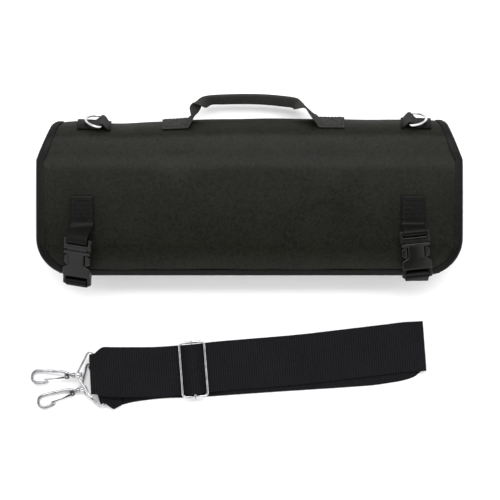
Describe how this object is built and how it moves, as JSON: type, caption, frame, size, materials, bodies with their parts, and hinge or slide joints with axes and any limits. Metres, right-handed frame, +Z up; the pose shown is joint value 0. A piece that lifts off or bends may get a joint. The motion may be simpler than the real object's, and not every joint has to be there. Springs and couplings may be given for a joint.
{
  "type": "knife roll",
  "caption": "Padded chef's knife roll, closed and lying on its back: wide over-flap held by side-release buckles, webbing carry handle, D-rings and an unclipped shoulder strap.",
  "frame": {"origin": "under the middle of the roll, on the face that it rests on", "axes": "+X along the roll, to the right seen from above; +Y towards the spine and carry handle; +Z up"},
  "size_m": [0.4366, 0.317, 0.0702],
  "materials": {
    "cover_cloth": "fine plain weave, charcoal",
    "binding_tape": "ribbed tape",
    "webbing": "woven, dull",
    "strap_webbing": "ribbed, dull",
    "buckle_plastic": "satin",
    "hardware": "polished"
  },
  "bodies": {
    "roll": {"roll_panel": "cover_cloth", "edge_binding": "binding_tape", "carry_handle": "webbing", "buckle_upper_strap_left": "webbing", "buckle_upper_strap_right": "webbing", "buckle_lower_strap_left": "webbing", "buckle_lower_strap_right": "webbing", "dring_tab_left": "webbing", "dring_tab_right": "webbing", "shoulder_webbing": "strap_webbing", "buckle_plug_left": "buckle_plastic", "buckle_plug_right": "buckle_plastic", "buckle_socket_left": "buckle_plastic", "buckle_socket_right": "buckle_plastic", "strap_slider": "hardware", "hook_ring_a": "hardware", "hook_ring_b": "hardware"},
    "dring_left": {"dring_left": "hardware"},
    "dring_right": {"dring_right": "hardware"},
    "hook_a": {"hook_a": "hardware"},
    "hook_b": {"hook_b": "hardware"},
    "gate_a": {"gate_a": "hardware"},
    "gate_b": {"gate_b": "hardware"}
  },
  "joints": [
    {"name": "dring_left_swing", "type": "hinge", "parent": "roll", "child": "dring_left", "pos_m": [-0.14818, 0.07607, 0.03322], "axis": [0.0656, 0.4417, -0.8947], "range_deg": [0, 150]},
    {"name": "dring_right_swing", "type": "hinge", "parent": "roll", "child": "dring_right", "pos_m": [0.16105, 0.07853, 0.03305], "axis": [0.004, -0.4845, 0.8748], "range_deg": [0, 150]},
    {"name": "hook_a_swivel", "type": "hinge", "parent": "roll", "child": "hook_a", "pos_m": [-0.17435, -0.17925, 0.00841], "axis": [-0.9902, -0.0502, -0.1305], "continuous": true},
    {"name": "hook_b_swivel", "type": "hinge", "parent": "roll", "child": "hook_b", "pos_m": [-0.16971, -0.19378, 0.00316], "axis": [-0.9508, -0.3089, -0.0209], "continuous": true},
    {"name": "gate_a_hinge", "type": "hinge", "parent": "hook_a", "child": "gate_a", "pos_m": [-0.18516, -0.1814, 0.00698], "axis": [0.1304, 0.0066, -0.9914], "range_deg": [0, 15], "stiffness_Nm_per_rad": 0.03, "springref_deg": -8.59},
    {"name": "gate_b_hinge", "type": "hinge", "parent": "hook_b", "child": "gate_b", "pos_m": [-0.17968, -0.1987, 0.00294], "axis": [0.0199, 0.0065, -0.9998], "range_deg": [0, 15], "stiffness_Nm_per_rad": 0.03, "springref_deg": -8.59}
  ]
}
